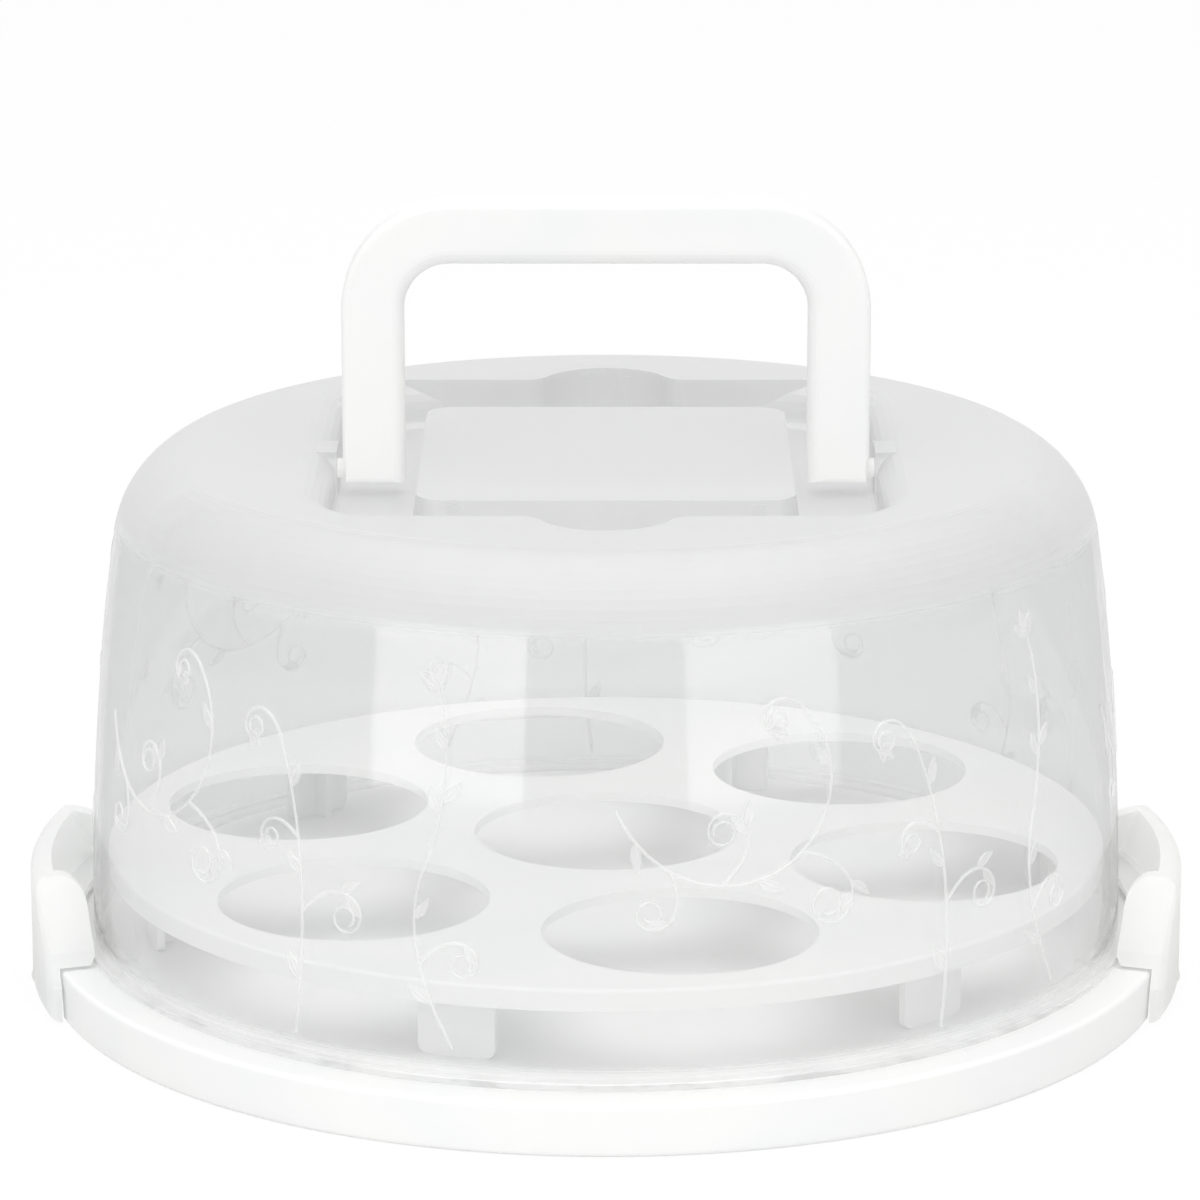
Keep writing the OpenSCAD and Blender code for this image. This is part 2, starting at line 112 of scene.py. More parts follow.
def add_node(tree: bpy.types.NodeTree, kind: str, settings: dict | None = None,
             links: dict | None = None) -> bpy.types.Node:
    """Adds one shader node with its settings and links.

    Args:
        tree: Node tree that gets the node.
        kind: Type name without its prefix, such as "TexNoise".
        settings: Values by input name, input number or property name.
        links: Output sockets by the name or number of the input that they feed.

    Returns:
        The new node.
    """
    node = tree.nodes.new("ShaderNode" + kind)
    for name, value in (settings or {}).items():
        if isinstance(name, int) or name in node.inputs:
            node.inputs[name].default_value = value
        else:
            setattr(node, name, value)
    for name, socket in (links or {}).items():
        tree.links.new(socket, node.inputs[name])
    return node


def new_material(name: str) -> tuple[bpy.types.Material, bpy.types.NodeTree]:
    """Makes an empty node material.

    Args:
        name: Name of the material.

    Returns:
        The material and its node tree, which holds no nodes.
    """
    material = bpy.data.materials.new(name)
    material.use_nodes = True
    material.node_tree.nodes.clear()
    return material, material.node_tree


# ---------------------------------------------------------------- finishes


@dataclass(frozen=True)
class WhiteMoulding:
    """Polypropylene, injection moulded in one white shot.

    The eye gets a milky white with a soft satin shine, faint cloudy flow marks where the melt
    met, and a very fine grain copied from the spark-eroded steel.
    """

    skin: Skin = Skin.SATIN
    body_hex: str = "#FCFCFB"
    flow_hex: str = "#F8F9F9"
    flow_mm: float = 48.0            # size of the cloudy flow marks
    flow_twist: float = 0.6          # how far the melt's swirl bends them
    flow_edges: tuple[float, float] = (0.30, 0.62)   # noise values between which a mark fades out
    grain_mm: float = 0.9            # real grain is about 0.1 mm; drawn coarser so that it shows
    grain_relief: float = 0.12
    grain_depth: float = 0.05 * MM
    rough: float = 0.40
    glow_through: float = 0.12       # share of the scattered light that comes out on the far side

    def build(self) -> bpy.types.Material:
        """Builds the material.

        Returns:
            The node material.
        """
        glow_percent = round(100 * self.glow_through)
        material, tree = new_material(f"polypropylene_white_{self.skin.value}_{glow_percent}")
        place = add_node(tree, "TexCoord").outputs["Object"]
        flow = add_node(tree, "TexNoise",
                        {"Scale": per_metre(self.flow_mm), "Detail": 3.0, "Distortion": self.flow_twist},
                        {"Vector": place})
        colour = add_node(tree, "ValToRGB", links={"Fac": flow.outputs["Fac"]})
        shades = (self.flow_hex, self.body_hex)
        for stop, edge, shade in zip(colour.color_ramp.elements, self.flow_edges, shades):
            stop.position = edge
            stop.color = linear(shade)
        grain = add_node(tree, "TexNoise", {"Scale": per_metre(self.grain_mm), "Detail": 2.0},
                         {"Vector": place})
        rough = add_node(tree, "MapRange",
                         {"To Min": self.rough - self.skin.spread, "To Max": self.rough + self.skin.spread},
                         {"Value": grain.outputs["Fac"]})
        bump = add_node(tree, "Bump", {"Strength": self.grain_relief, "Distance": self.grain_depth},
                        {"Height": grain.outputs["Fac"]})
        near_side = add_node(tree, "BsdfPrincipled", {"IOR": POLYPROPYLENE_IOR},
                             {"Base Color": colour.outputs["Color"], "Roughness": rough.outputs["Result"],
                              "Normal": bump.outputs["Normal"]})
        far_side = add_node(tree, "BsdfTranslucent", links={"Color": colour.outputs["Color"]})
        shader = add_node(tree, "MixShader", {"Fac": self.glow_through},
                          {1: near_side.outputs["BSDF"], 2: far_side.outputs["BSDF"]})
        add_node(tree, "OutputMaterial", links={"Surface": shader.outputs["Shader"]})
        return material


@dataclass(frozen=True)
class ClearMoulding:
    """Random-copolymer polypropylene, injection moulded: polished wall and spark-eroded top.

    The eye gets a thin grey-white veil that shows what stands inside the wall, clean reflections
    of the lights, and above the frost line a milky skin that hides what is under it. The veil is
    the share of the light that one face scatters.
    """

    name: str = "polypropylene_clear_polished_and_frosted"
    clear_hex: str = "#F0F1F2"
    frost_hex: str = "#E2E2E3"
    tint_hex: str = "#FEFEFE"        # light that a face lets through to the eye
    shade_hex: str = "#FDFDFD"       # light that a face lets through to what it shades
    frost_z: float = 127.0 * MM      # height where the polish ends
    frost_blend: float = 3.2 * MM    # how softly one skin goes over into the next
    clear_veil: float = 0.140
    frost_veil: float = 0.70
    foot_z: float = 16.5 * MM        # the thick flange below this height is milky and white
    foot_veil: float = 0.50
    bed_z: float = 13.85 * MM        # below it is the flange's bottom face on the tray, which is opaque
    cloud_mm: float = 30.0           # size of the patches where the plastic is a little milkier
    cloud_spread: float = 0.10       # how far they move the veil up and down, as a share of it
    slant_from: float = 0.55         # slant of the view, 1 along the face, from which the veil grows
    slant_veil: float = 3.0          # times the veil along the face, where the way through is long
    glow_through: float = 0.35       # share of the scattered light that comes out on the far side
    grain_mm: float = 1.1            # real frost is about 0.15 mm; drawn coarser so that it shows
    grain_depth: float = 0.04 * MM
    clear_relief: float = 0.0
    frost_relief: float = 0.8
    clear_rough: float = 0.07
    frost_rough: float = 0.42
    specular: float = 0.2            # low, because the gloss has a shader of its own
    mirror_ahead: float = 0.068      # share of light that a face mirrors straight ahead
    mirror_along: float = 0.80       # the same along the face
    mirror_power: float = 3.4        # how late the one goes over into the other

    def build(self) -> bpy.types.Material:
        """Builds the material.

        Returns:
            The node material.
        """
        material, tree = new_material(self.name)
        place = add_node(tree, "TexCoord").outputs["Object"]
        height = add_node(tree, "SeparateXYZ", links={"Vector": place}).outputs["Z"]
        grain = add_node(tree, "TexNoise", {"Scale": per_metre(self.grain_mm), "Detail": 2.0},
                         {"Vector": place})
        cloud = add_node(tree, "TexNoise", {"Scale": per_metre(self.cloud_mm), "Detail": 3.0},
                         {"Vector": place})
        slant = add_node(tree, "LayerWeight").outputs["Facing"]

        # Where the frost, the flange and its bottom face are.
        frost = add_node(tree, "MapRange",
                         {"From Min": self.frost_z - self.frost_blend,
                          "From Max": self.frost_z + self.frost_blend,
                          "interpolation_type": "SMOOTHSTEP"}, {"Value": height}).outputs["Result"]
        foot = add_node(tree, "MapRange",
                        {"From Min": self.foot_z, "From Max": self.foot_z + self.frost_blend,
                         "To Min": 1.0, "To Max": 0.0}, {"Value": height}).outputs["Result"]
        bed = add_node(tree, "Math", {"operation": "LESS_THAN", 1: self.bed_z}, {0: height}).outputs["Value"]

        # The veil: by height, then cloudier in patches, thicker along the face and whole on the bed.
        wall = add_node(tree, "MapRange", {"To Min": self.clear_veil, "To Max": self.frost_veil},
                        {"Value": frost})
        flange = add_node(tree, "Math", {"operation": "MULTIPLY", 1: self.foot_veil}, {0: foot})
        by_height = add_node(tree, "Math", {"operation": "MAXIMUM"},
                             {0: flange.outputs["Value"], 1: wall.outputs["Result"]})
        cloudy = add_node(tree, "MapRange",
                          {"To Min": 1.0 - self.cloud_spread, "To Max": 1.0 + self.cloud_spread},
                          {"Value": cloud.outputs["Fac"]})
        longer = add_node(tree, "MapRange",
                          {"From Min": self.slant_from, "To Min": 1.0, "To Max": self.slant_veil},
                          {"Value": slant})
        veil_cloudy = add_node(tree, "Math", {"operation": "MULTIPLY"},
                               {0: by_height.outputs["Value"], 1: cloudy.outputs["Result"]})
        veil_long = add_node(tree, "Math", {"operation": "MULTIPLY"},
                             {0: veil_cloudy.outputs["Value"], 1: longer.outputs["Result"]})
        veil = add_node(tree, "Math", {"operation": "ADD", "use_clamp": True},
                        {0: veil_long.outputs["Value"], 1: bed})

        # Colour and grain of the skin.
        skins = add_node(tree, "Mix", {"data_type": "RGBA", MIX_A: linear(self.clear_hex),
                                       MIX_B: linear(self.frost_hex)}, {0: frost})
        colour = add_node(tree, "Mix", {"data_type": "RGBA", MIX_B: WHITE},
                          {0: foot, MIX_A: skins.outputs[MIX_RESULT]}).outputs[MIX_RESULT]
        rough = add_node(tree, "MapRange", {"To Min": self.clear_rough, "To Max": self.frost_rough},
                         {"Value": frost}).outputs["Result"]
        relief = add_node(tree, "MapRange", {"To Min": self.clear_relief, "To Max": self.frost_relief},
                          {"Value": frost})
        normal = add_node(tree, "Bump", {"Distance": self.grain_depth},
                          {"Strength": relief.outputs["Result"],
                           "Height": grain.outputs["Fac"]}).outputs["Normal"]

        # The plastic itself: milky skin, clear body and gloss.
        near_side = add_node(tree, "BsdfPrincipled",
                             {"IOR": POLYPROPYLENE_IOR, "Specular IOR Level": self.specular},
                             {"Base Color": colour, "Roughness": rough, "Normal": normal})
        far_side = add_node(tree, "BsdfTranslucent", links={"Color": colour})
        skin = add_node(tree, "MixShader", {"Fac": self.glow_through},
                        {1: near_side.outputs["BSDF"], 2: far_side.outputs["BSDF"]})
        through = add_node(tree, "BsdfTransparent", {"Color": linear(self.tint_hex)})
        body = add_node(tree, "MixShader", links={"Fac": veil.outputs["Value"], 1: through.outputs["BSDF"],
                                                  2: skin.outputs["Shader"]})
        steep = add_node(tree, "Math", {"operation": "POWER", 1: self.mirror_power}, {0: slant})
        mirror = add_node(tree, "MapRange", {"To Min": self.mirror_ahead, "To Max": self.mirror_along},
                          {"Value": steep.outputs["Value"]})
        gloss = add_node(tree, "BsdfAnisotropic", links={"Roughness": rough, "Normal": normal})
        plastic = add_node(tree, "MixShader", links={"Fac": mirror.outputs["Result"],
                                                     1: body.outputs["Shader"], 2: gloss.outputs["BSDF"]})

        # Light passes to what stands inside, and casts only a faint shade.
        path = add_node(tree, "LightPath")
        lighting = add_node(tree, "Math", {"operation": "MAXIMUM"},
                            {0: path.outputs["Is Shadow Ray"], 1: path.outputs["Is Diffuse Ray"]})
        lit_through = add_node(tree, "BsdfTransparent", {"Color": linear(self.shade_hex)})
        shader = add_node(tree, "MixShader", links={"Fac": lighting.outputs["Value"],
                                                    1: plastic.outputs["Shader"],
                                                    2: lit_through.outputs["BSDF"]})
        add_node(tree, "OutputMaterial", links={"Surface": shader.outputs["Shader"]})
        return material


@dataclass(frozen=True)
class DrawnSteel:
    """Stainless steel wire, cold drawn and cut.

    The eye gets a grey metal with fine lines along the wire and a soft long highlight.
    """

    body_hex: str = "#C3C5C8"
    line_hex: str = "#A9ACB0"
    line_mm: float = 0.25            # spacing of the drawing lines round the wire
    line_squeeze: float = 0.02       # scale along the wire, which draws the pattern out into lines
    line_relief: float = 0.2
    line_depth: float = 0.02 * MM
    rough: float = 0.30
    rough_spread: float = 0.08

    def build(self) -> bpy.types.Material:
        """Builds the material.

        Returns:
            The node material.
        """
        material, tree = new_material("stainless_steel_drawn")
        place = add_node(tree, "TexCoord").outputs["Object"]
        along = add_node(tree, "Mapping", {"Scale": (1.0, self.line_squeeze, 1.0)}, {"Vector": place})
        lines = add_node(tree, "TexNoise", {"Scale": per_metre(self.line_mm), "Detail": 2.0},
                         {"Vector": along.outputs["Vector"]})
        colour = add_node(tree, "ValToRGB", links={"Fac": lines.outputs["Fac"]})
        colour.color_ramp.elements[0].color = linear(self.line_hex)
        colour.color_ramp.elements[1].color = linear(self.body_hex)
        rough = add_node(tree, "MapRange",
                         {"To Min": self.rough - self.rough_spread, "To Max": self.rough + self.rough_spread},
                         {"Value": lines.outputs["Fac"]})
        bump = add_node(tree, "Bump", {"Strength": self.line_relief, "Distance": self.line_depth},
                        {"Height": lines.outputs["Fac"]})
        shader = add_node(tree, "BsdfPrincipled", {"Metallic": 1.0},
                          {"Base Color": colour.outputs["Color"], "Roughness": rough.outputs["Result"],
                           "Normal": bump.outputs["Normal"]})
        add_node(tree, "OutputMaterial", links={"Surface": shader.outputs["BSDF"]})
        return material


def dress(node: str, material: bpy.types.Material) -> None:
    """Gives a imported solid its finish.

    Args:
        node: Name of the CAD node.
        material: Finish of the whole node.
    """
    solid = frame["nodes"][node]
    solid.data.materials.clear()
    solid.data.materials.append(material)
    log.info("dressed %s with %s", node, material.name)


# ---------------------------------------------------------------- raised scroll


@dataclass(frozen=True)
class Swirl:
    """A stem that bends more and more, drawn on the unrolled wall in millimetres.

    The bend is one over the radius, positive to the left, and runs evenly from bend_start to
    bend_end along the length.
    """

    start: Point
    heading: float                   # degrees, 0 along the wall and 90 upwards
    length: float
    bend_start: float
    bend_end: float
    width: float = 1.1
    step: float = 0.8

    def trace(self) -> list[Spot]:
        """Walks the stem.

        Returns:
            Across, up and heading in radians at each step.
        """
        count = max(4, round(self.length / self.step))
        ds = self.length / count
        x, y = self.start
        angle = math.radians(self.heading)
        line = [(x, y, angle)]
        for i in range(count):
            bend = self.bend_start + (self.bend_end - self.bend_start) * (i + 0.5) / count
            middle = angle + bend * ds / 2
            x += math.cos(middle) * ds
            y += math.sin(middle) * ds
            angle += bend * ds
            line.append((x, y, angle))
        return line

    def at(self, share: float) -> Spot:
        """Spot at a share of the length."""
        line = self.trace()
        return line[min(len(line) - 1, round(share * (len(line) - 1)))]


@dataclass(frozen=True)
class Fork:
    """A thinner stem that leaves another one."""

    name: str
    parent: str
    share: float                     # where on the parent, as a share of its length
    off: float                       # degrees to the parent's heading, positive to the left
    length: float                    # millimetres
    bend_start: float
    bend_end: float
    width: float = 0.95              # millimetres

    def grow(self, parent: Swirl) -> Swirl:
        """Finds the stem's line.

        Args:
            parent: Stem that it leaves.

        Returns:
            The thinner stem.
        """
        x, y, angle = parent.at(self.share)
        return Swirl((x, y), math.degrees(angle) + self.off, self.length, self.bend_start, self.bend_end,
                     self.width)


# One repeat of the scroll: a wide arc, a tall stem and a low stem, and the thinner stems on them.
MAIN_STEMS: dict[str, Swirl] = {
    "arc": Swirl((-72.0, 84.0), -66.0, 96.0, 0.028, 0.044),
    "tall": Swirl((16.0, 20.0), 82.0, 74.0, 0.004, 0.010),
    "low": Swirl((60.0, 22.0), 118.0, 50.0, -0.004, -0.034),
}
FORKS: tuple[Fork, ...] = (
    Fork("rise", "arc", 0.36, 46.0, 50.0, 0.004, 0.42),
    Fork("away", "arc", 0.60, -58.0, 56.0, -0.008, -0.34),
    Fork("drop", "arc", 0.22, -38.0, 40.0, -0.006, -0.46),
    Fork("crest", "arc", 1.0, 0.0, 34.0, 0.05, 0.52),
    Fork("curl", "tall", 1.0, 0.0, 38.0, 0.02, 0.50),
    Fork("side", "tall", 0.44, -44.0, 46.0, -0.006, -0.42),
    Fork("twig", "tall", 0.68, 40.0, 30.0, 0.010, 0.56),
    Fork("reach", "low", 1.0, 10.0, 44.0, 0.006, 0.022),
    Fork("loop", "low", 0.45, -50.0, 40.0, -0.012, -0.46),
)

# Leaves of each stem: share of its length, side (1 left, -1 right) and leaf length in millimetres.
Leaves = tuple[tuple[float, int, float], ...]
PAIR: Leaves = ((0.30, 1, 6.5), (0.34, -1, 6.5))
SINGLE: Leaves = ((0.36, -1, 6.0),)
LEAVES: dict[str, Leaves] = {
    "arc": ((0.10, -1, 7.5), (0.46, -1, 8.0), (0.84, 1, 7.0)),
    "tall": ((0.20, 1, 8.0), (0.56, 1, 7.0), (0.86, -1, 7.0)),
    "low": ((0.25, 1, 7.5), (0.70, -1, 6.5)),
    "reach": ((0.30, 1, 7.0), (0.34, -1, 7.0), (0.66, 1, 6.0)),
    "rise": PAIR,
    "away": PAIR,
    "side": PAIR,
    "drop": SINGLE,
    "loop": SINGLE,
}

# Stems that end in a bud, and the length of its petals in millimetres.
BUDS: dict[str, float] = {"reach": 7.5, "twig": 4.5, "crest": 4.5, "curl": 5.0}


@dataclass(frozen=True)
class StemForm:
    """How a stem is rounded and ends. A profile's points are shares of its half width and height."""

    profile: tuple[Point, ...] = ((-1.0, -1.0), (-0.82, 0.35), (-0.35, 0.95), (0.35, 0.95), (0.82, 0.35),
                                  (1.0, -1.0))
    taper: float = 0.45              # share of the width that is lost towards the tip
    curled: float = 0.2              # a stem that bends more than this at its end has a knob there
    knob_from: float = 0.93          # share of the length where the knob starts
    knob_long: float = 0.07          # share that it takes
    knob_swell: float = 0.9          # how much wider it gets, as a share of the stem's width

    def half_at(self, stem: Swirl, share: float) -> float:
        """Half width at a share of the length.

        Args:
            stem: The stem.
            share: Share of its length.

        Returns:
            Half of the width in millimetres.
        """
        half = stem.width / 2 * (1.0 - self.taper * share)
        if abs(stem.bend_end) > self.curled and share > self.knob_from:
            half *= 1.0 + self.knob_swell * math.sin(math.pi * (share - self.knob_from) / self.knob_long)
        return half


@dataclass(frozen=True)
class LeafForm:
    """Outline and section of a leaf with a raised edge and vein. A petal is a short leaf."""

    profile: tuple[Point, ...] = ((-1.0, -1.0), (-0.96, 0.4), (-0.78, 1.0), (-0.56, 0.30), (-0.16, 0.25),
                                  (0.0, 0.85), (0.16, 0.25), (0.56, 0.30), (0.78, 1.0), (0.96, 0.4),
                                  (1.0, -1.0))
    rows: int = 12
    least_half: float = 0.14         # half width at base and tip, in millimetres
    belly: float = 0.80              # below 1 the widest place is nearer to the base
    fullness: float = 0.85           # below 1 the outline is rounder
    base_rise: tuple[float, float] = (0.25, 6.0)     # share of the full height there, and its growth
    tip_rise: tuple[float, float] = (0.3, 5.0)
    straight: float = 0.3            # share of the length where the leaf has its own heading
    slim: float = 0.40               # width as a share of the length
    splay: float = 0.70              # radians from the stem
    droop: float = 0.5               # radians back towards the stem, over the length
    petal_slim: float = 0.42
    # Each petal's angle to the stem in radians, and its length as a share of the middle one's.
    petals: tuple[tuple[float, float], ...] = ((-0.62, 0.85), (0.0, 1.0), (0.62, 0.85))

    def half_at(self, width: float, share: float) -> float:
        """Half width in millimetres at a share of the length."""
        return max(self.least_half, width / 2 * math.sin(math.pi * share ** self.belly) ** self.fullness)

    def rise_at(self, share: float) -> float:
        """Share of the full height at a share of the length."""
        return min(1.0, self.base_rise[1] * share + self.base_rise[0],
                   self.tip_rise[1] * (1 - share) + self.tip_rise[0])


@dataclass
class VineScroll:
    """Raised vine scroll round the lid's wall: stems that end in curls, with veined leaves and buds."""

    foot_r: float = 137.5 * MM       # the wall's outside at seat_z
    seat_z: float = 13.8 * MM
    sweep_r: float = 780.0 * MM      # radius of the wall's arc from foot to shoulder
    repeats: int = 5
    start_angle: float = -131.0      # degrees round the lid at the first repeat
    proud: float = 0.34 * MM         # how far the relief stands out of the wall
    sunk: float = 0.25 * MM          # how far its edges are inside the wall
    stem: StemForm = StemForm()
    leaf: LeafForm = LeafForm()
    finish: ClearMoulding = ClearMoulding(
        name="polypropylene_clear_raised_grain", clear_hex="#FFFFFF", clear_veil=0.47, clear_rough=0.42,
        clear_relief=0.3, slant_veil=1.2, mirror_along=0.10)
    mesh: bmesh.types.BMesh = field(default_factory=bmesh.new)

    def wall_r(self, z: float) -> float:
        """Outside radius of the wall at height z."""
        return self.foot_r - self.sweep_r + math.sqrt(self.sweep_r ** 2 - (z - self.seat_z) ** 2)

    def on_wall(self, across: float, up: float, out: float, turn: float) -> Vector:
        """Places a point of the unrolled drawing on the wall.

        Args:
            across: Distance along the wall from the repeat's middle, in millimetres.
            up: Height above the table, in millimetres.
            out: Distance out of the wall, in metres.
            turn: Angle of the repeat's middle, in radians.

        Returns:
            The point in the row frame.
        """
        z = up * MM
        angle = turn + across * MM / self.foot_r
        r = self.wall_r(z) + out
        return Vector((r * math.cos(angle), r * math.sin(angle), z))

    def add_ring(self, spot: Spot, half: float, rise: float, profile: tuple[Point, ...],
                 turn: float) -> list[bmesh.types.BMVert]:
        """Sets one open profile across a stem or a leaf.

        Args:
            spot: Where, and the heading of the stem or leaf.
            half: Half of the width there, in millimetres.
            rise: Share of the full height there.
            profile: Shares of half and of the height; a height below 0 is inside the wall.
            turn: Angle of the repeat's middle, in radians.

        Returns:
            The profile's points.
        """
        x, y, angle = spot
        across, up = -math.sin(angle) * half, math.cos(angle) * half
        return [self.mesh.verts.new(self.on_wall(x + across * s, y + up * s,
                                                 self.proud * h * rise if h > 0 else -self.sunk, turn))
                for s, h in profile]

    def skin_strip(self, rings: list[list[bmesh.types.BMVert]]) -> None:
        """Joins a row of open profiles into a raised strip, whose open underside is inside the wall.

        Args:
            rings: Profiles with the same number of points, from one end to the other.
        """
        for a, b in zip(rings, rings[1:]):
            for i in range(len(a) - 1):
                self.mesh.faces.new((a[i], b[i], b[i + 1], a[i + 1]))

    def add_stem(self, stem: Swirl, turn: float) -> None:
        """Adds a half-round stem that thins towards its tip.

        Args:
            stem: Line of the stem on the unrolled wall.
            turn: Angle of the repeat's middle, in radians.
        """
        line = stem.trace()
        last = len(line) - 1
        self.skin_strip([self.add_ring(spot, self.stem.half_at(stem, k / last), 1.0, self.stem.profile, turn)
                         for k, spot in enumerate(line)])

    def add_leaf(self, base: Spot, length: float, width: float, droop: float, turn: float) -> None:
        """Adds a pointed leaf.

        Args:
            base: Where the leaf meets its stem, and its heading.
            length: Length in millimetres.
            width: Greatest width in millimetres.
            droop: Bend over the length in radians.
            turn: Angle of the repeat's middle, in radians.
        """
        form = self.leaf
        x, y, heading = base
        rings = []
        for k in range(form.rows + 1):
            share = k / form.rows
            angle = heading + droop * (share - form.straight)
            if k:
                x += math.cos(angle) * length / form.rows
                y += math.sin(angle) * length / form.rows
            rings.append(self.add_ring((x, y, angle), form.half_at(width, share), form.rise_at(share),
                                       form.profile, turn))
        self.skin_strip(rings)

    def add_leaves(self, stem: Swirl, leaves: Leaves, turn: float) -> None:
        """Sets leaves along a stem.

        Args:
            stem: Stem that carries them.
            leaves: Share of the stem's length, side and leaf length in millimetres.
            turn: Angle of the repeat's middle, in radians.
        """
        form = self.leaf
        for share, hand, size in leaves:
            x, y, angle = stem.at(share)
            self.add_leaf((x, y, angle + hand * form.splay), size, size * form.slim, -hand * form.droop, turn)

    def add_bud(self, tip: Spot, size: float, turn: float) -> None:
        """Adds a three-petalled bud at a stem's end.

        Args:
            tip: End of the stem.
            size: Length of the middle petal in millimetres.
            turn: Angle of the repeat's middle, in radians.
        """
        form = self.leaf
        x, y, angle = tip
        for fan, share in form.petals:
            self.add_leaf((x, y, angle + fan), size * share, size * form.petal_slim, fan * form.droop, turn)

    def add_repeat(self, turn: float) -> None:
        """Adds one repeat of the scroll.

        Args:
            turn: Angle of the repeat's middle, in radians.
        """
        stems = dict(MAIN_STEMS)
        for fork in FORKS:
            stems[fork.name] = fork.grow(stems[fork.parent])
        for stem in stems.values():
            self.add_stem(stem, turn)
        for name, leaves in LEAVES.items():
            self.add_leaves(stems[name], leaves, turn)
        for name, size in BUDS.items():
            self.add_bud(stems[name].at(1.0), size, turn)

    def build(self) -> None:
        """Builds the scroll and lays it on the lid."""
        for k in range(self.repeats):
            self.add_repeat(math.radians(self.start_angle + 360.0 / self.repeats * k))
        data = bpy.data.meshes.new("lid_vine_scroll")
        self.mesh.to_mesh(data)
        self.mesh.free()
        data.polygons.foreach_set("use_smooth", [True] * len(data.polygons))
        data.materials.append(self.finish.build())
        piece = bpy.data.objects.new("lid_vine_scroll", data)
        bpy.context.scene.collection.objects.link(piece)
        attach(piece, "lid")
        log.info("built %s: %d faces", piece.name, len(data.polygons))


# ---------------------------------------------------------------- sub-assemblies


@dataclass
class Lid:
    """Translucent dome with its handle recess, and the scroll on its wall."""

    finish: ClearMoulding = ClearMoulding()
    scroll: VineScroll = field(default_factory=VineScroll)

    def build(self) -> None:
        """Dresses the dome and builds the scroll."""
        dress("lid_dome", self.finish.build())
        self.scroll.build()


@dataclass
class CarryHandle:
    """Folding bail handle on two stubs."""

    finish: WhiteMoulding = WhiteMoulding()

    def build(self) -> None:
        """Dresses the handle."""
        dress("carry_handle", self.finish.build())


@dataclass
class Base:
    """Base tray with its two hinge pins, and the cupcake insert that stands in it."""

    tray_finish: WhiteMoulding = WhiteMoulding(Skin.GRAINED, "#FDFDFC", "#F9FAFA", glow_through=0.08)
    insert_finish: WhiteMoulding = WhiteMoulding(Skin.GRAINED, "#FEFEFD", "#FAFBFB", glow_through=0.24)
    pin_finish: DrawnSteel = DrawnSteel()

    def build(self) -> None:
        """Dresses the tray, the insert and the pins."""
        dress("base_tray", self.tray_finish.build())
        dress("cupcake_insert", self.insert_finish.build())
        steel = self.pin_finish.build()
        for side in Side:
            dress(f"latch_pin_{side.value}", steel)


@dataclass
class SideLatch:
    """Curved clip, hinged low on the base, that hooks over the lid's flange."""

    side: Side
    finish: WhiteMoulding = WhiteMoulding(Skin.SATIN, "#FEFEFD", "#FBFCFC", glow_through=0.50)

    def build(self) -> None:
        """Dresses the latch."""
        dress(f"latch_{self.side.value}", self.finish.build())


# ---------------------------------------------------------------- studio


@dataclass
class Lamp:
    """One soft lamp, aimed at the carrier."""

    name: str
    place: tuple[float, float, float]
    size: tuple[float, float]
    glow: float                      # brightness of its face, where 1 is white
    aim: tuple[float, float, float] = (0.0, 0.0, 0.08)
    white_watts: float = 4.0         # watts per square metre that make the face white

    def build(self) -> None:
        """Adds the lamp."""
        light = bpy.data.lights.new(self.name, "AREA")
        light.shape = "RECTANGLE"
        light.size, light.size_y = self.size
        light.energy = self.glow * self.white_watts * self.size[0] * self.size[1]
        lamp = bpy.data.objects.new(self.name, light)
        lamp.location = self.place
        lamp.rotation_euler = (Vector(self.aim) - Vector(self.place)).to_track_quat("-Z", "Y").to_euler()
        lamp.visible_camera = False
        bpy.context.scene.collection.objects.link(lamp)
        log.info("lamp %s at %s", self.name, self.place)


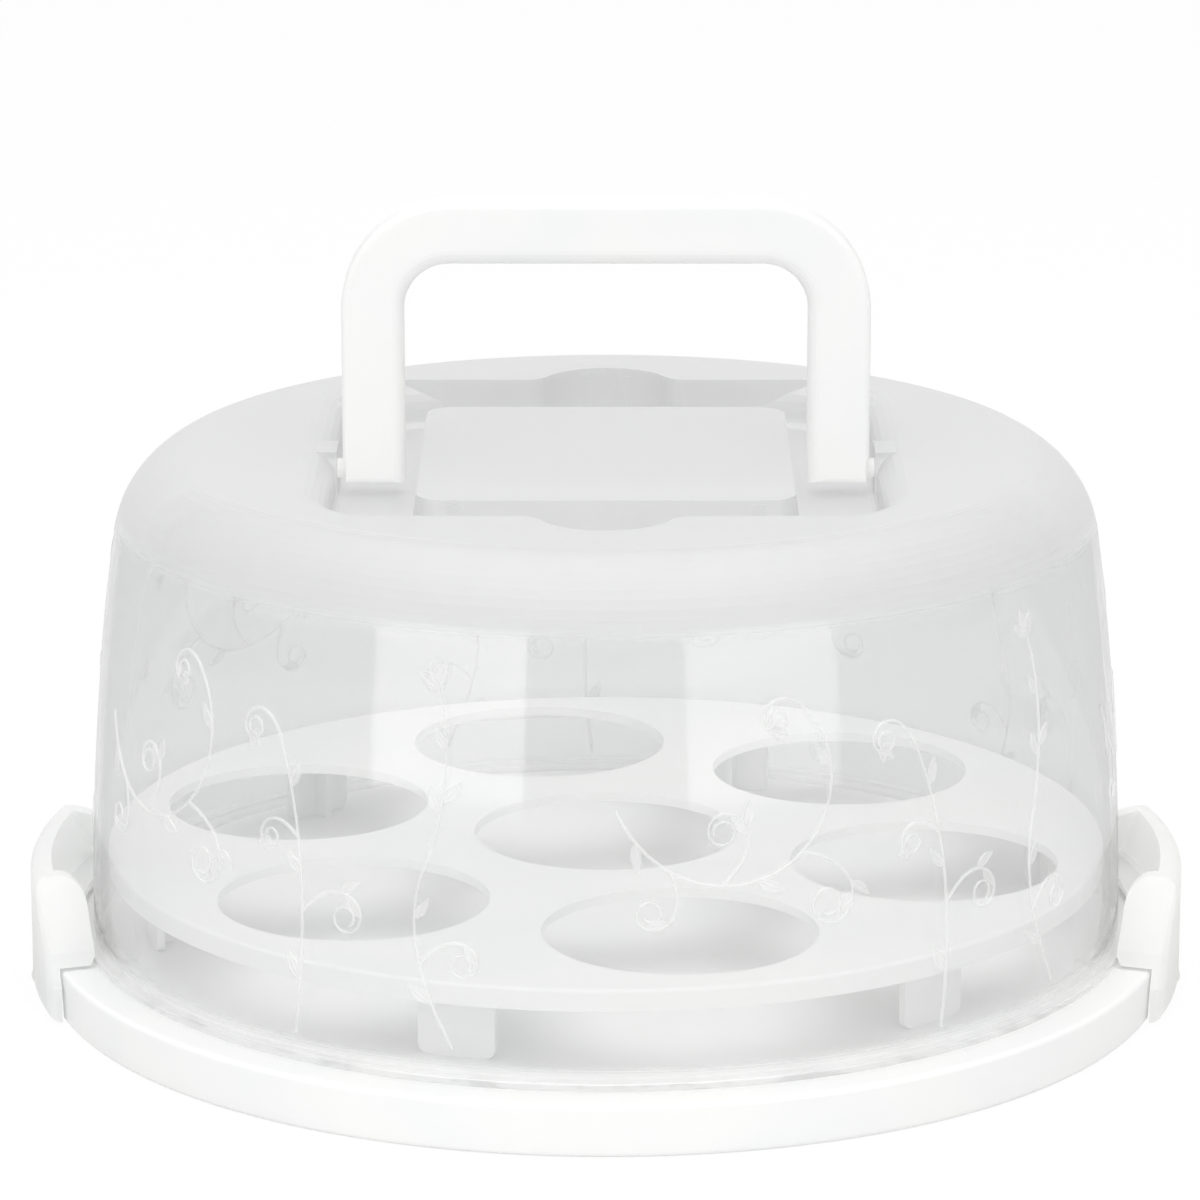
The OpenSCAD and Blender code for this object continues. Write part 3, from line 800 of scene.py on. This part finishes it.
@dataclass
class Studio:
    """Pale floor, pale surround and soft lamps."""

    floor_hex: str = "#E0E0E0"       # seen through the lid, and lighting the carrier from below
    floor_half: float = 6.0
    floor_gap: float = 0.1 * MM
    floor_white: float = 0.94        # share of plain white in what the eye sees of the floor
    floor_rough: tuple[float, float] = (0.85, 0.95)
    floor_specular: float = 0.1
    weave_mm: float = 8.0            # size of the floor's faint rough patches
    front_level: float = 0.84        # brightness of the surround in front of the carrier
    back_level: float = 0.60         # and behind it
    lamps: tuple[Lamp, ...] = (
        Lamp("softbox_left", (-0.42, -0.66, 0.17), (0.46, 0.34), 1.10),
        Lamp("softbox_right", (0.42, -0.66, 0.17), (0.46, 0.34), 0.92),
        Lamp("softbox_top", (0.0, -0.15, 1.25), (1.6, 1.6), 0.84),
    )

    def seen_bare(self, tree: bpy.types.NodeTree) -> bpy.types.NodeSocket:
        """Tells rays that show the backdrop itself from light that bounces or comes through the lid.

        Args:
            tree: Node tree that gets the nodes.

        Returns:
            Socket that is 1 where the backdrop is seen or mirrored with nothing in front of it, else 0.
        """
        path = add_node(tree, "LightPath")
        mirrored = add_node(tree, "Math", {"operation": "ADD"},
                            {0: path.outputs["Is Glossy Ray"], 1: path.outputs["Is Transmission Ray"]})
        seen = add_node(tree, "Math", {"operation": "ADD", "use_clamp": True},
                        {0: path.outputs["Is Camera Ray"], 1: mirrored.outputs["Value"]})
        bare = add_node(tree, "MapRange", {"To Min": 1.0, "To Max": 0.0},
                        {"Value": path.outputs["Transparent Depth"]})
        return add_node(tree, "Math", {"operation": "MULTIPLY"},
                        {0: seen.outputs["Value"], 1: bare.outputs["Result"]}).outputs["Value"]

    def floor_finish(self) -> bpy.types.Material:
        """Builds the floor's matt paper, which is nearly white where it is seen bare.

        Returns:
            The node material.
        """
        material, tree = new_material("studio_floor_matt")
        place = add_node(tree, "TexCoord").outputs["Object"]
        weave = add_node(tree, "TexNoise", {"Scale": per_metre(self.weave_mm)}, {"Vector": place})
        rough = add_node(tree, "MapRange", {"To Min": self.floor_rough[0], "To Max": self.floor_rough[1]},
                         {"Value": weave.outputs["Fac"]})
        bare = self.seen_bare(tree)
        tone = add_node(tree, "Mix", {"data_type": "RGBA", MIX_A: linear(self.floor_hex), MIX_B: WHITE},
                        {0: bare})
        matt = add_node(tree, "BsdfPrincipled", {"Specular IOR Level": self.floor_specular},
                        {"Base Color": tone.outputs[MIX_RESULT], "Roughness": rough.outputs["Result"]})
        white = add_node(tree, "Emission", {"Color": WHITE, "Strength": 1.0})
        share = add_node(tree, "Math", {"operation": "MULTIPLY", 1: self.floor_white}, {0: bare})
        shader = add_node(tree, "MixShader", links={"Fac": share.outputs["Value"],
                                                    1: matt.outputs["BSDF"], 2: white.outputs["Emission"]})
        add_node(tree, "OutputMaterial", links={"Surface": shader.outputs["Shader"]})
        return material

    def build_floor(self) -> None:
        """Lays the floor, which keeps the carrier's shadow."""
        sheet = bmesh.new()
        bmesh.ops.create_grid(sheet, x_segments=8, y_segments=8, size=self.floor_half,
                              matrix=Matrix.Translation((0.0, 0.0, -self.floor_gap)))
        data = bpy.data.meshes.new("studio_floor")
        sheet.to_mesh(data)
        sheet.free()
        data.materials.append(self.floor_finish())
        floor = bpy.data.objects.new("studio_floor", data)
        bpy.context.scene.collection.objects.link(floor)
        log.info("laid the studio floor")

    def build_world(self) -> None:
        """Makes the pale surround, which is white where it is seen bare."""
        world = bpy.data.worlds.new("studio_surround")
        world.use_nodes = True
        tree = world.node_tree
        tree.nodes.clear()
        place = add_node(tree, "TexCoord").outputs["Generated"]
        toward = add_node(tree, "SeparateXYZ", links={"Vector": place})
        level = add_node(tree, "MapRange",
                         {"From Min": -1.0, "To Min": self.front_level, "To Max": self.back_level},
                         {"Value": toward.outputs["Y"]})
        dim = add_node(tree, "Background", {"Color": WHITE}, {"Strength": level.outputs["Result"]})
        white = add_node(tree, "Background", {"Color": WHITE, "Strength": 1.0})
        shader = add_node(tree, "MixShader", links={"Fac": self.seen_bare(tree), 1: dim.outputs["Background"],
                                                    2: white.outputs["Background"]})
        add_node(tree, "OutputWorld", links={"Surface": shader.outputs["Shader"]})
        bpy.context.scene.world = world

    def build(self) -> None:
        """Builds the floor, the surround and the lamps."""
        self.build_floor()
        self.build_world()
        for lamp in self.lamps:
            lamp.build()


@dataclass
class FrontCamera:
    """Long lens in front of the carrier, a little above it."""

    place: tuple[float, float, float] = (0.0, -1.43194, 0.47882)
    pitch: float = 14.75             # degrees down
    yaw: float = 0.063               # degrees to the left
    lens_mm: float = 167.15
    sensor_mm: float = 36.0
    clip: tuple[float, float] = (0.05, 50.0)

    def build(self) -> None:
        """Adds the camera and makes it the scene's."""
        data = bpy.data.cameras.new("front_camera")
        data.sensor_width = self.sensor_mm
        data.lens = self.lens_mm
        data.clip_start, data.clip_end = self.clip
        camera = bpy.data.objects.new("front_camera", data)
        camera.location = self.place
        camera.rotation_euler = (math.radians(90.0 - self.pitch), 0.0, math.radians(self.yaw))
        bpy.context.scene.collection.objects.link(camera)
        bpy.context.scene.camera = camera
        log.info("camera at %s", self.place)


def main() -> None:
    """Builds the studio and dresses the carrier, one sub-assembly after another."""
    bpy.context.scene.view_settings.view_transform = "Standard"
    FrontCamera().build()
    Studio().build()
    Base().build()
    Lid().build()
    CarryHandle().build()
    for side in Side:
        SideLatch(side).build()


if __name__ == "__main__":
    main()
